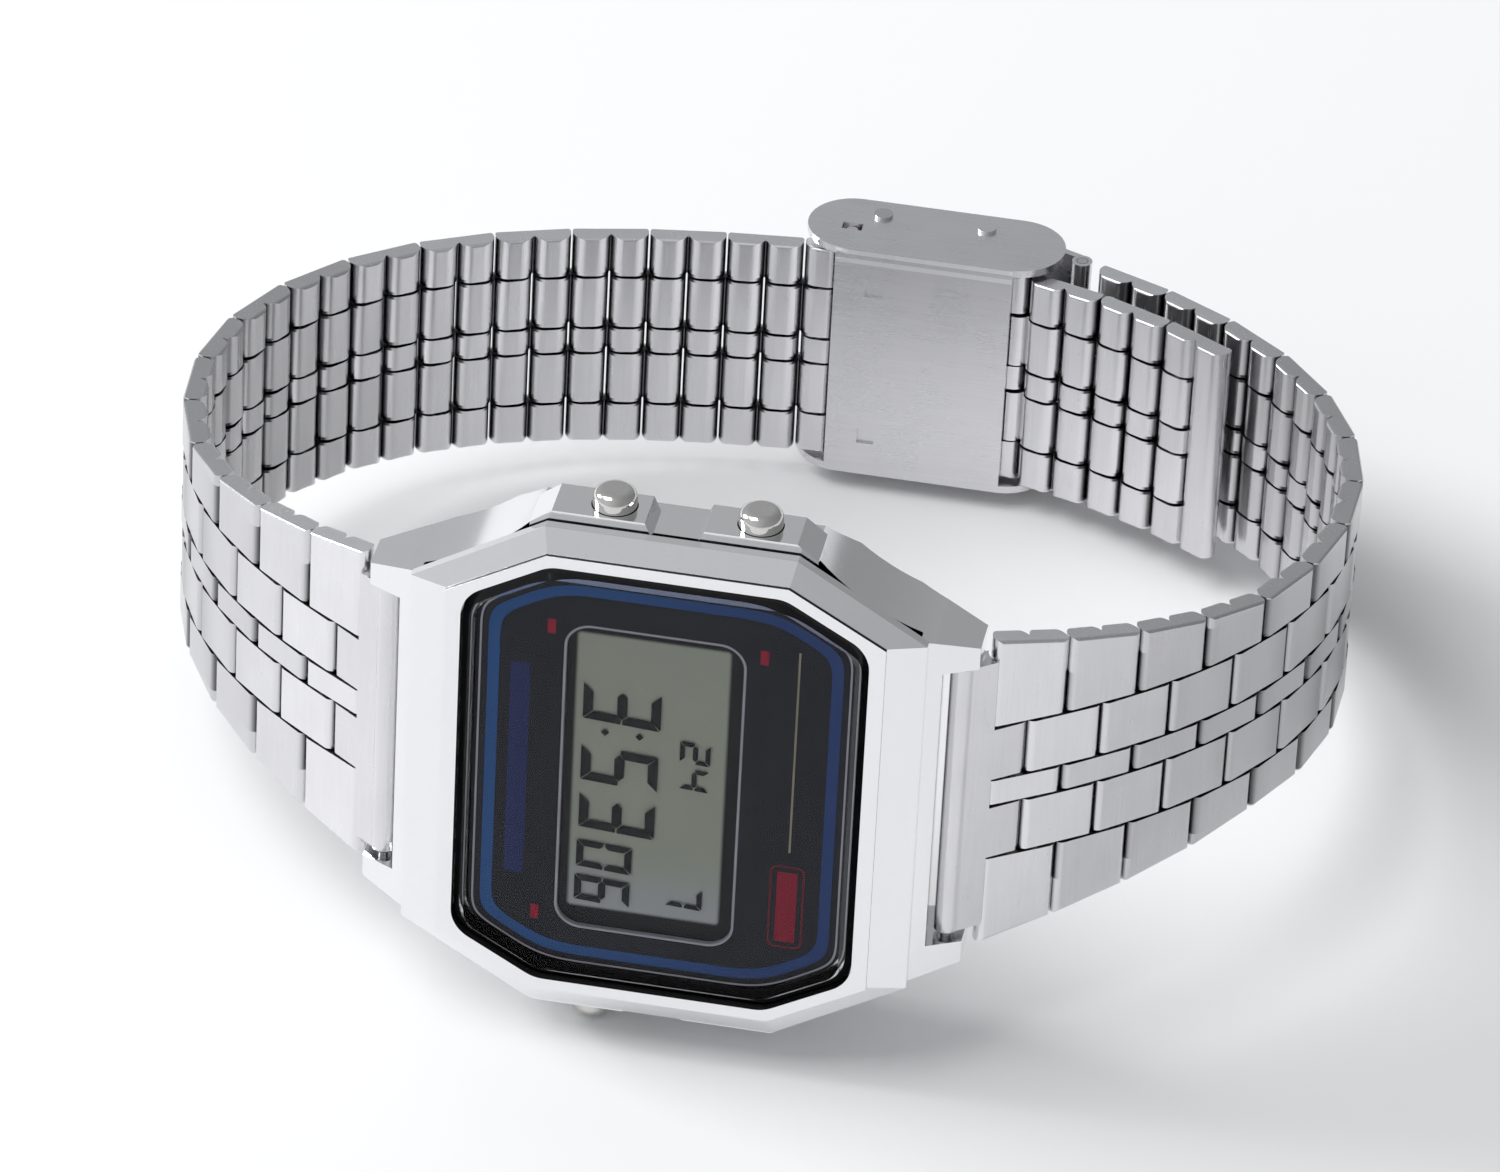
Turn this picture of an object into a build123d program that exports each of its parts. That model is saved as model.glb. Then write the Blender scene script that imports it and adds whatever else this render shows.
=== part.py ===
from build123d import *
from math import atan2, cos, degrees, hypot, pi, radians, sin
import os

# Digital watch on a closed steel bracelet, lying on its three o'clock side.
# Working frame, before the finished pieces are laid on the floor: X runs to twelve o'clock, the dial faces -Y,
# Z runs to nine o'clock along every bracelet pin, and the printed dial is near Y = 0.

# Case, seen from the front
bezel_half_x = 15.6
bezel_half_z = 17.15
bezel_flat_x = 7.6
bezel_flat_z = 12.4
crease_half_x = 13.3
crease_half_z = 15.7
crease_flat_x = 7.3
crease_flat_z = 12.3
crystal_half_x = 12.3
crystal_half_z = 14.9
crystal_flat_x = 7.1
crystal_flat_z = 12.0
cavity_half_x = 11.6
cavity_half_z = 14.0
cavity_flat_x = 6.8
cavity_flat_z = 11.2
side_half_z = 16.8
side_flat_x = 8.4
sweep_x = 12.7
sweep_z = 13.4
lug_root_x = 15.9
lug_root_z = 12.2
lug_tip_x = 18.5
lug_tip_z = 11.4
lug_slot_x = 16.45
lug_slot_half_z = 9.9
neck_half_z = 15.7
neck_flat_x = 7.0
neck_flat_z = 11.1
neck_end_x = 15.1
corner_round = 2.2

# Case, front to back
rim_y = -0.5
rim_step = 0.3
bezel_edge_y = 0.45
bezel_under_y = 1.1
neck_back_y = 1.9
lug_tip_front_y = 2.6
lug_tip_back_y = 5.2
side_back_y = 5.2
seat_y = 6.8
back_y = 7.6
back_half_x = 14.2
back_half_z = 14.9
back_edge_round = 0.45

# Crystal and dial
crystal_front_y = -0.6
crystal_back_y = 0.9
crystal_bevel = 0.75
crystal_gap = 0.05
dial_gap = 0.05
dial_thickness = 0.3
window_low_x = -6.0
window_high_x = 4.75
window_low_z = -11.2
window_high_z = 10.5
window_round = 1.5

# Buttons and the four shoulders of the case that guard them
shoulder_inner_x = 1.8
shoulder_outer_x = 8.7
shoulder_slope_x = 1.3
shoulder_lead_x = 0.45
shoulder_half_z = 17.8
shoulder_front_y = 1.25
shoulder_back_y = 4.3
button_x_light = 4.9
button_x_mode = -3.9
button_x_start = -4.0
button_y = 2.85
button_radius = 1.35
button_tip_z = 18.95
button_dome = 0.6
button_length = 2.3
button_gap = 0.06
button_travel = 0.6
stem_radius = 0.6
stem_end_z = 13.55
clip_radius = 1.0
clip_thickness = 0.2
clip_gap = 0.1
seal_length = 0.7
seal_radius = 1.05

# Module inside the case
module_gap = 0.3
module_half_z = 12.6
frame_wall = 0.5
frame_back_y = 4.4
lcd_thickness = 1.2
lcd_margin = 1.1
lamp_thickness = 0.45
strip_width = 1.0
board_thickness = 0.6
board_front_y = 3.7
battery_radius = 10.0
battery_thickness = 1.6
battery_gap = 0.1
clamp_thickness = 0.2
clamp_width = 5.0
chip_size = 5.0
chip_gap = 0.1
piezo_radius = 8.0
piezo_thickness = 0.2
gasket_width = 0.6
gasket_depth = 0.4
gasket_inset = 0.25
screw_x = 13.0
screw_z = 8.6
screw_radius = 0.45
screw_head_radius = 0.8
screw_head_depth = 0.35
screw_length = 3.2

# Bracelet links: each pitch has a row of three links and a row of two, half a pitch further on
pitch = 4.95
link_gap = 0.08
link_outer = 0.65
link_inner = 0.75
outer_round = 0.45
lobe_round = 0.88
groove_depth = 0.65
end_round = 0.2
pin_radius = 0.35
pin_clearance = 0.04
pin_cover = 0.5
column_gap = 0.2
centre_width = 1.7
inner_link_width = 3.6
band_width = 15.3
case_widths = [22.0, 20.1, 18.3, 16.7, band_width]
rows_to_twelve = 13
rows_to_six = 15
bar_x = 17.4
bar_y = 3.4
bar_radius = 0.5
bar_tip_radius = 0.35
bar_tip_length = 0.8
first_pin_x = 19.9
first_pin_y = 5.35
end_link_side_gap = 0.35
end_link_round = 0.6

# Loop: the angles at which the strands leave the case and reach the clasp
leave_angle = 33.0
six_arrive_angle = 175.0
twelve_arrive_angle = 162.0
clasp_depth_share = 0.619
first_lag = 1.0
first_crowd = 0.3
longest_step = 0.2
nudge = 1e-5
solver_rounds = 60

# Clasp
captured_rows = 3
tail_rows = 2
tail_dip = 22.0
tail_angle = 17.0
tail_turn = 3.4
captured_start_x = 0.35
clasp_sheet = 0.5
clasp_left_x = -1.0
clasp_right_x = 15.6
clasp_height = 6.2
plate_left_x = 1.3
plate_right_x = 12.7
plate_gap = 0.15
wall_gap = 0.25
wall_bend = 0.45
plate_bend_height = 1.0
clasp_hinge_x = 3.6
clasp_hinge_back = 1.7
clasp_hinge_radius = 0.45
dimple_x = 10.3
dimple_radius = 0.6
dimple_height = 0.2
slot_x = 1.9
slot_length = 1.3
slot_height = 0.8
window_size = 1.1
window_depth = 0.2
window_x = 3.9
window_z = 5.5
cover_gap = 0.1
ear_radius = 1.0
ear_thickness = 0.5
cover_left = 1.4
cover_bend_x = 11.5
cover_pin_x = 16.7
cover_pin_back = 2.9
lock_gap = 0.45
lock_thickness = 0.5
lock_length = 6.6

overrun = 2.0


def at_depth(y):
    """A plane facing the front, at this depth behind the dial, whose own x and y run along X and Z."""
    return Plane.XZ.offset(-y)


def octagon(half_x, half_z, flat_x, flat_z):
    """The eight corners of the octagon that the bezel, the crystal and the cavity share."""
    corners = [(flat_x, half_z), (half_x, flat_z), (half_x, -flat_z), (flat_x, -half_z)]
    return corners + [(-x, z) for x, z in reversed(corners)]


def octagon_face(half_x, half_z, flat_x, flat_z):
    with BuildSketch() as face:
        with BuildLine():
            Polyline(*octagon(half_x, half_z, flat_x, flat_z), close=True)
        make_face()
    return face.sketch


def rounded_octagon(half_x, half_z, flat_x, flat_z, radius):
    with BuildSketch() as face:
        add(octagon_face(half_x, half_z, flat_x, flat_z))
        fillet(face.vertices(), radius=radius)
    return face.sketch


finished = []


def finish(piece, name):
    """Name a piece, or a group of separate solids, and keep it for laying down and writing."""
    solids = piece.solids()
    whole = solids[0] if len(solids) == 1 else Compound(solids)
    whole.label = name
    finished.append(whole)


# Case shell: a bezel over a body whose sides sweep in to the lugs
with BuildPart() as case_shell:
    with BuildSketch(at_depth(seat_y)):
        with BuildLine():
            quarter = [(0, side_half_z), (side_flat_x, side_half_z)]
            Polyline(*quarter)
            ThreePointArc(quarter[-1], (sweep_x, sweep_z), (lug_root_x, lug_root_z))
            Polyline((lug_root_x, lug_root_z), (lug_tip_x, lug_tip_z), (lug_tip_x, 0))
            mirror(about=Plane.XZ)
            mirror(about=Plane.YZ)
        make_face()
    extrude(amount=seat_y - bezel_under_y)
    with BuildSketch(Plane.XY.offset(-side_half_z - overrun)):
        with BuildLine():
            Polyline(
                (0, rim_y), (bezel_half_x, rim_y), (bezel_half_x, bezel_under_y),
                (lug_tip_x, lug_tip_front_y), (lug_tip_x, lug_tip_back_y), (back_half_x, seat_y), (0, seat_y),
            )
            mirror(about=Plane.YZ)
        make_face()
    extrude(amount=2 * (side_half_z + overrun), mode=Mode.INTERSECT)
    back_edges = case_shell.edges().filter_by(Axis.X).group_by(Axis.Y)[-1]
    chamfer(back_edges, length=seat_y - side_back_y, length2=side_half_z - back_half_z)
    with BuildSketch(at_depth(neck_back_y)):
        Rectangle(2 * neck_end_x, 2 * (side_half_z + overrun))
        add(octagon_face(bezel_half_x, neck_half_z, neck_flat_x, neck_flat_z), mode=Mode.SUBTRACT)
    extrude(amount=neck_back_y - bezel_under_y, mode=Mode.SUBTRACT)
    with BuildSketch(at_depth(shoulder_back_y)):
        for side_x in (-1, 1):
            for side_z in (-1, 1):
                with BuildLine():
                    Polyline(
                        (side_x * (shoulder_inner_x - shoulder_lead_x), side_z * sweep_z),
                        (side_x * (shoulder_inner_x - shoulder_lead_x), side_z * side_half_z),
                        (side_x * shoulder_inner_x, side_z * shoulder_half_z),
                        (side_x * (shoulder_outer_x - shoulder_slope_x), side_z * shoulder_half_z),
                        (side_x * shoulder_outer_x, side_z * side_half_z),
                        (side_x * shoulder_outer_x, side_z * sweep_z),
                        close=True,
                    )
                make_face()
    extrude(amount=shoulder_back_y - shoulder_front_y)
    with BuildSketch(at_depth(bezel_under_y)):
        add(octagon_face(bezel_half_x, bezel_half_z, bezel_flat_x, bezel_flat_z))
    extrude(amount=bezel_under_y - bezel_edge_y)
    with BuildSketch(at_depth(bezel_edge_y)):
        add(octagon_face(bezel_half_x, bezel_half_z, bezel_flat_x, bezel_flat_z))
    with BuildSketch(at_depth(rim_y + rim_step)):
        add(octagon_face(crease_half_x, crease_half_z, crease_flat_x, crease_flat_z))
    loft(ruled=True)
    with BuildSketch(at_depth(rim_y + rim_step)):
        add(octagon_face(crease_half_x, crease_half_z, crease_flat_x, crease_flat_z))
    extrude(amount=rim_step)
    with BuildSketch(at_depth(crystal_back_y)):
        add(rounded_octagon(
            crystal_half_x + crystal_gap, crystal_half_z + crystal_gap, crystal_flat_x, crystal_flat_z, corner_round
        ))
    extrude(amount=crystal_back_y - rim_y + overrun, mode=Mode.SUBTRACT)
    with BuildSketch(at_depth(seat_y)):
        add(rounded_octagon(cavity_half_x, cavity_half_z, cavity_flat_x, cavity_flat_z, corner_round))
    extrude(amount=seat_y - rim_y, mode=Mode.SUBTRACT)
    with BuildSketch(at_depth(seat_y)):
        add(rounded_octagon(
            cavity_half_x + gasket_inset + gasket_width,
            cavity_half_z + gasket_inset + gasket_width,
            cavity_flat_x, cavity_flat_z, corner_round,
        ))
        add(rounded_octagon(
            cavity_half_x + gasket_inset, cavity_half_z + gasket_inset, cavity_flat_x, cavity_flat_z, corner_round
        ), mode=Mode.SUBTRACT)
    extrude(amount=gasket_depth, mode=Mode.SUBTRACT)
    slot_depth_x = lug_tip_x + overrun - lug_slot_x
    with Locations(*[(side * (lug_slot_x + slot_depth_x / 2), (rim_y + back_y) / 2, 0) for side in (-1, 1)]):
        Box(slot_depth_x, back_y - rim_y, 2 * lug_slot_half_z, mode=Mode.SUBTRACT)
    for side in (-1, 1):
        with Locations((side * bar_x, bar_y, 0)):
            Cylinder(bar_tip_radius, 2 * (lug_slot_half_z + bar_tip_length), mode=Mode.SUBTRACT)
    for x in (-screw_x, screw_x):
        for z in (-screw_z, screw_z):
            with Locations(Plane((x, seat_y, z), z_dir=(0, 1, 0))):
                Hole(screw_radius, depth=screw_length - (back_y - screw_head_depth - seat_y))
    for x, side in ((button_x_light, 1), (button_x_mode, 1), (button_x_start, -1)):
        with Locations(Plane((x, button_y, side * shoulder_half_z), z_dir=(0, 0, side))):
            Hole(button_radius + button_gap, depth=shoulder_half_z - button_tip_z + button_length + button_travel)
            Hole(stem_radius + button_gap, depth=shoulder_half_z - cavity_half_z + overrun)
        seal_top_z = button_tip_z - button_length - button_travel
        with Locations(Plane((x, button_y, side * seal_top_z), z_dir=(0, 0, side))):
            Hole(seal_radius, depth=seal_length)
finish(case_shell.part, "case_shell")

# Crystal: a flat window with a polished bevel round its edge
with BuildPart() as crystal:
    with BuildSketch(at_depth(crystal_back_y)):
        add(rounded_octagon(crystal_half_x, crystal_half_z, crystal_flat_x, crystal_flat_z, corner_round))
    extrude(amount=crystal_back_y - crystal_front_y)
    chamfer(crystal.faces().sort_by(Axis.Y)[0].edges(), length=crystal_bevel)
finish(crystal.part, "crystal")

# Dial plate: the printed face, with the window for the display
dial_front_y = crystal_back_y + dial_gap
dial_back_y = dial_front_y + dial_thickness
window_size_x = window_high_x - window_low_x
window_size_z = window_high_z - window_low_z
window_centre = ((window_low_x + window_high_x) / 2, (window_low_z + window_high_z) / 2)
with BuildPart() as dial_plate:
    with BuildSketch(at_depth(dial_back_y)):
        add(rounded_octagon(
            cavity_half_x - dial_gap, cavity_half_z - dial_gap, cavity_flat_x, cavity_flat_z, corner_round
        ))
        with Locations(window_centre):
            RectangleRounded(window_size_x, window_size_z, window_round, mode=Mode.SUBTRACT)
    extrude(amount=dial_thickness)
finish(dial_plate.part, "dial_plate")

# Display: its glass sits behind the window, with the lamp panel behind it
lcd_front_y = dial_back_y
lcd_back_y = lcd_front_y + lcd_thickness
lcd_size_x = window_size_x + 2 * lcd_margin
lcd_size_z = window_size_z + 2 * lcd_margin
with BuildPart() as lcd_panel:
    with Locations((window_centre[0], (lcd_front_y + lcd_back_y) / 2, window_centre[1])):
        Box(lcd_size_x, lcd_thickness, lcd_size_z)
finish(lcd_panel.part, "lcd_panel")

lamp_size_z = lcd_size_z - 2 * strip_width - 2 * module_gap
with BuildPart() as lamp_panel:
    with Locations((window_centre[0], lcd_back_y + lamp_thickness / 2, window_centre[1])):
        Box(lcd_size_x, lamp_thickness, lamp_size_z)
finish(lamp_panel.part, "lamp_panel")

# Contact strips: striped rubber blocks from the display's edges to the board
strip_z = lcd_size_z / 2 - strip_width / 2
with BuildPart() as contact_strips:
    strip_depth = board_front_y - lcd_back_y
    for side in (-1, 1):
        with Locations((window_centre[0], lcd_back_y + strip_depth / 2, window_centre[1] + side * strip_z)):
            Box(lcd_size_x, strip_depth, strip_width)
finish(contact_strips.part, "contact_strips")

# Module frame: a moulded tray round the display and the board
frame_half_x = cavity_half_x - module_gap
frame_front_y = dial_back_y
with BuildPart() as module_frame:
    with BuildSketch(at_depth(frame_back_y)):
        add(octagon_face(frame_half_x, module_half_z, cavity_flat_x - module_gap, cavity_flat_z - module_gap))
    extrude(amount=frame_back_y - frame_front_y)
    with Locations((window_centre[0], (frame_front_y + board_front_y) / 2, window_centre[1])):
        Box(
            lcd_size_x + 2 * dial_gap, board_front_y - frame_front_y, lcd_size_z + 2 * dial_gap, mode=Mode.SUBTRACT
        )
    with BuildSketch(at_depth(frame_back_y)):
        add(octagon_face(
            frame_half_x - frame_wall, module_half_z - frame_wall,
            cavity_flat_x - module_gap - frame_wall, cavity_flat_z - module_gap - frame_wall,
        ))
    extrude(amount=frame_back_y - board_front_y, mode=Mode.SUBTRACT)
finish(module_frame.part, "module_frame")

with BuildPart() as circuit_board:
    with BuildSketch(at_depth(board_front_y + board_thickness)):
        add(octagon_face(
            frame_half_x - frame_wall - dial_gap, module_half_z - frame_wall - dial_gap,
            cavity_flat_x - module_gap - frame_wall, cavity_flat_z - module_gap - frame_wall,
        ))
    extrude(amount=board_thickness)
finish(circuit_board.part, "circuit_board")

# Battery, its clamp and the chip, on the back of the board
board_back_y = board_front_y + board_thickness
battery_front_y = board_back_y + battery_gap
battery_back_y = battery_front_y + battery_thickness
battery_z = -(module_half_z - frame_wall - battery_radius - clamp_thickness - 2 * battery_gap)
with BuildPart() as battery:
    with BuildSketch(at_depth(battery_back_y)):
        with Locations((0, battery_z)):
            Circle(battery_radius)
    extrude(amount=battery_thickness)
    fillet(battery.edges().filter_by(GeomType.CIRCLE), radius=battery_gap)
finish(battery.part, "battery")

clamp_back_y = battery_back_y + clamp_thickness
with BuildPart() as battery_clamp:
    clamp_half_z = battery_radius + battery_gap
    with Locations((0, (battery_back_y + clamp_back_y) / 2, battery_z)):
        Box(clamp_width, clamp_thickness, 2 * clamp_half_z)
    clamp_leg = clamp_back_y - board_back_y
    for side in (-1, 1):
        with Locations((0, board_back_y + clamp_leg / 2, battery_z + side * (clamp_half_z + clamp_thickness / 2))):
            Box(clamp_width, clamp_leg, clamp_thickness)
finish(battery_clamp.part, "battery_clamp")

chip_front_y = lcd_back_y + lamp_thickness + chip_gap
with BuildPart() as processor_chip:
    with Locations((window_centre[0], (chip_front_y + board_front_y) / 2, window_centre[1])):
        Box(chip_size, board_front_y - chip_front_y, chip_size)
finish(processor_chip.part, "processor_chip")

# Case back with its gasket, its screws and the buzzer's disc glued inside it
with BuildPart() as back_gasket:
    with BuildSketch(at_depth(seat_y)):
        add(rounded_octagon(
            cavity_half_x + gasket_inset + gasket_width,
            cavity_half_z + gasket_inset + gasket_width,
            cavity_flat_x, cavity_flat_z, corner_round,
        ))
        add(rounded_octagon(
            cavity_half_x + gasket_inset, cavity_half_z + gasket_inset, cavity_flat_x, cavity_flat_z, corner_round
        ), mode=Mode.SUBTRACT)
    extrude(amount=gasket_depth)
finish(back_gasket.part, "back_gasket")

with BuildPart() as case_back:
    with BuildSketch(at_depth(back_y)):
        add(rounded_octagon(back_half_x, back_half_z, cavity_flat_x, cavity_flat_z, corner_round))
    extrude(amount=back_y - seat_y)
    chamfer(case_back.faces().sort_by(Axis.Y)[-1].edges(), length=back_edge_round)
    for x in (-screw_x, screw_x):
        for z in (-screw_z, screw_z):
            with Locations(Plane((x, back_y, z), z_dir=(0, 1, 0))):
                CounterBoreHole(screw_radius + button_gap, screw_head_radius + button_gap, screw_head_depth)
finish(case_back.part, "case_back")

with BuildPart() as case_back_screws:
    for x in (-screw_x, screw_x):
        for z in (-screw_z, screw_z):
            with BuildSketch(at_depth(back_y)):
                with Locations((x, z)):
                    Circle(screw_head_radius)
            extrude(amount=screw_head_depth)
            with BuildSketch(at_depth(back_y - screw_head_depth)):
                with Locations((x, z)):
                    Circle(screw_radius)
            extrude(amount=screw_length)
            with Locations((x, back_y, z)):
                Box(2 * screw_head_radius, screw_head_depth, back_edge_round / 2, mode=Mode.SUBTRACT)
finish(case_back_screws.part, "case_back_screws")

with BuildPart() as buzzer_disc:
    with BuildSketch(at_depth(seat_y)):
        Circle(piezo_radius)
    extrude(amount=piezo_thickness)
finish(buzzer_disc.part, "buzzer_disc")


# Buttons: a domed cap, a stem through the seal, and a clip inside the case
def button(x, side, name):
    axis_plane = Plane((x, button_y, 0), z_dir=(0, 0, side))
    with BuildPart() as piece:
        with BuildSketch(axis_plane.offset(button_tip_z - button_length)):
            Circle(button_radius)
        extrude(amount=button_length)
        fillet(piece.faces().sort_by(Axis.Z)[-1 if side > 0 else 0].edges(), radius=button_dome)
        with BuildSketch(axis_plane.offset(stem_end_z)):
            Circle(stem_radius)
        extrude(amount=button_tip_z - button_length - stem_end_z)
        with BuildSketch(axis_plane.offset(stem_end_z + clip_gap)):
            Circle(clip_radius)
        extrude(amount=clip_thickness)
    finish(piece.part, name)


button(button_x_light, 1, "light_button")
button(button_x_mode, 1, "mode_button")
button(button_x_start, -1, "start_button")

with BuildPart() as button_seals:
    for x, side in ((button_x_light, 1), (button_x_mode, 1), (button_x_start, -1)):
        seal_plane = Plane((x, button_y, 0), z_dir=(0, 0, side))
        with BuildSketch(seal_plane.offset(button_tip_z - button_length - button_travel - seal_length)):
            Circle(seal_radius)
            Circle(stem_radius + pin_clearance, mode=Mode.SUBTRACT)
        extrude(amount=seal_length)
finish(button_seals.part, "button_seals")

# Spring bars: a barrel with two thin tips that spring into the lugs
with BuildPart() as spring_bars:
    for side in (-1, 1):
        with Locations((side * bar_x, bar_y, 0)):
            Cylinder(bar_radius, 2 * (lug_slot_half_z - end_link_side_gap))
            Cylinder(bar_tip_radius - pin_clearance, 2 * (lug_slot_half_z + bar_tip_length - pin_clearance))
finish(spring_bars.part, "spring_bars")

# Bracelet link: a folded strip with a flat outer face, round ends and a groove inside between its two pins.
# In its own frame the first pin is the Z axis, X runs to the second pin and Y points out of the bracelet.
half_pitch = pitch / 2
link_length = pitch - link_gap
hole_radius = pin_radius + pin_clearance
side_start_z = centre_width / 2 + inner_link_width + 2 * column_gap
inner_start_z = centre_width / 2 + column_gap


def link_profile():
    """Two round lobes side by side, one round each pin, under one flat outer face."""
    lobe_length = link_length / 2
    with BuildSketch() as profile:
        for side in (-1, 1):
            with BuildSketch(mode=Mode.PRIVATE) as lobe:
                with Locations((half_pitch / 2 + side * lobe_length / 2, (link_outer - link_inner) / 2)):
                    Rectangle(lobe_length, link_outer + link_inner)
                fillet(lobe.vertices().group_by(Axis.Y)[0], radius=lobe_round)
            add(lobe.sketch)
        with Locations((half_pitch / 2, (link_outer - link_inner + groove_depth) / 2)):
            Rectangle(lobe_length, link_outer + link_inner - groove_depth)
        corners = profile.vertices().group_by(Axis.Y)[-1].sort_by(Axis.X)
        fillet([corners[0], corners[-1]], radius=outer_round)
    return profile.sketch


def end_prism(first_half_width, second_half_width):
    """The room inside a bracelet edge that runs from one half width to the next, with its corners rounded."""
    edge = Plane(
        origin=(half_pitch / 2 - pitch / 2, (link_outer - link_inner) / 2, first_half_width),
        x_dir=(0, 1, 0),
        z_dir=(pitch, 0, second_half_width - first_half_width),
    )
    depth = first_half_width + second_half_width
    with BuildPart() as room:
        with BuildSketch(edge) as end:
            with Locations((0, -depth / 2)):
                Rectangle(link_outer + link_inner, depth)
            fillet(end.vertices().group_by(Axis.Y)[-1], radius=end_round)
        extrude(amount=2 * pitch, both=True)
    return room.part


def link(start_z, first_half_width, second_half_width, covered):
    """A link from start_z out to a half width at each end. A covered one has a rounded end and short pin holes."""
    wide = max(first_half_width, second_half_width)
    narrow = min(first_half_width, second_half_width)
    with BuildPart() as piece:
        with BuildSketch(Plane.XY.offset(start_z)):
            add(link_profile())
        extrude(amount=wide - start_z)
        if covered:
            add(end_prism(first_half_width, second_half_width), mode=Mode.INTERSECT)
        hole_end = narrow - pin_cover if covered else wide + overrun
        with BuildSketch(Plane.XY.offset(start_z)):
            with Locations((0, 0), (half_pitch, 0)):
                Circle(hole_radius)
        extrude(amount=hole_end - start_z, mode=Mode.SUBTRACT)
    return piece.part.solid()


def pin(half_length):
    with BuildPart() as piece:
        Cylinder(pin_radius, 2 * half_length)
    return piece.part.solid()


centre_link = link(-centre_width / 2, centre_width / 2, centre_width / 2, False)
inner_link = link(inner_start_z, inner_start_z + inner_link_width, inner_start_z + inner_link_width, False)
flip = Location((0, 0, 0), (180, 0, 0))
upside = Plane.XY
side_links = {}


def side_link(first_width, second_width):
    """The pair of outer links of a row, one at each edge of the bracelet."""
    if (first_width, second_width) not in side_links:
        upper = link(side_start_z, first_width / 2, second_width / 2, True)
        side_links[first_width, second_width] = [upper, upper.mirror(upside)]
    return side_links[first_width, second_width]


def pin_stubs(half_length):
    """A pin cut away between its own row's links, where the loop is opened."""
    side_length = half_length - side_start_z
    side_stub = pin(side_length / 2).moved(Location((0, 0, side_start_z + side_length / 2)))
    return [pin(centre_width / 2), side_stub, side_stub.mirror(upside)]


def row_of_three(first_width, second_width, opened=False):
    pieces = [centre_link] + side_link(first_width, second_width)
    half_length = min(first_width, second_width) / 2 - pin_cover - pin_clearance
    pieces += pin_stubs(half_length) if opened else [pin(half_length)]
    pieces.append(pin(half_length).moved(Location((half_pitch, 0, 0))))
    return pieces


def row_of_two():
    return [inner_link, inner_link.mirror(upside)]


def placed(pieces, point, heading, outward):
    """Copies of the pieces with their first pin at a point, running along a heading, their outer face outward."""
    place = Location((point[0], point[1], 0), (0, 0, heading))
    if outward < 0:
        place = place * flip
    return [piece.moved(place) for piece in pieces]


# Loop shape: each strand turns steadily from the case to the clasp, and two shares say how unevenly
def strand_headings(count, leave, arrive, lag, crowd):
    headings = []
    for step in range(count):
        share = ((step + 0.5) / count) ** lag
        share -= crowd * sin(2 * pi * share) / (2 * pi)
        headings.append(leave + (arrive - leave) * share)
    return headings


def strand_points(start, headings, step):
    points = [start]
    for heading in headings:
        x, y = points[-1]
        points.append((x + step * cos(radians(heading)), y + step * sin(radians(heading))))
    return points


def solve_strand(start, end, count, leave, arrive):
    """The headings that bring a strand of links from its start to its end."""
    lag, crowd = first_lag, first_crowd

    def miss(lag, crowd):
        last = strand_points(start, strand_headings(count, leave, arrive, lag, crowd), half_pitch)[-1]
        return last[0] - end[0], last[1] - end[1]

    for _ in range(solver_rounds):
        fx, fy = miss(lag, crowd)
        ax, ay = miss(lag + nudge, crowd)
        bx, by = miss(lag, crowd + nudge)
        a, c = (ax - fx) / nudge, (ay - fy) / nudge
        b, d = (bx - fx) / nudge, (by - fy) / nudge
        determinant = a * d - b * c
        lag_step = (d * fx - b * fy) / determinant
        crowd_step = (a * fy - c * fx) / determinant
        damping = max(1, abs(lag_step) / longest_step, abs(crowd_step) / longest_step)
        lag -= lag_step / damping
        crowd -= crowd_step / damping
    return strand_headings(count, leave, arrive, lag, crowd)


# Heights through the clasp, measured outward from the plane of the captured pins
clasp_y = clasp_depth_share * rows_to_six * pitch + first_pin_y
plate_inner_y = clasp_y - link_inner - plate_gap - clasp_sheet
clasp_back_y = plate_inner_y + clasp_height
cover_pin_y = clasp_back_y - cover_pin_back

six_start = (-first_pin_x, first_pin_y)
six_mirrored = solve_strand(
    (first_pin_x, first_pin_y), (-captured_start_x, clasp_y), 2 * rows_to_six, leave_angle, six_arrive_angle
)
six_headings = [180 - heading for heading in six_mirrored]
six_points = strand_points(six_start, six_headings, half_pitch)

twelve_start = (first_pin_x, first_pin_y)
twelve_headings = solve_strand(
    twelve_start, (cover_pin_x, cover_pin_y), 2 * rows_to_twelve, leave_angle, twelve_arrive_angle
)
twelve_points = strand_points(twelve_start, twelve_headings, half_pitch)


# Bracelet rows: every body is one pitch, a row of three on its two pins and a row of two half a pitch further on
def width_at(row):
    return case_widths[row] if row < len(case_widths) else band_width


def strand_rows(points, headings, count, outward, name, opened_row=None):
    for row in range(count):
        threes = row_of_three(width_at(row), width_at(row + 1), opened=row == opened_row)
        pieces = placed(threes, points[2 * row], headings[2 * row], outward)
        pieces += placed(row_of_two(), points[2 * row + 1], headings[2 * row + 1], outward)
        finish(Compound(pieces), f"{name}_{row + 1:02d}")


strand_rows(twelve_points, twelve_headings, rows_to_twelve, -1, "row_12")
strand_rows(six_points, six_headings, rows_to_six, 1, "row_6", opened_row=rows_to_six - 1)


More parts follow.
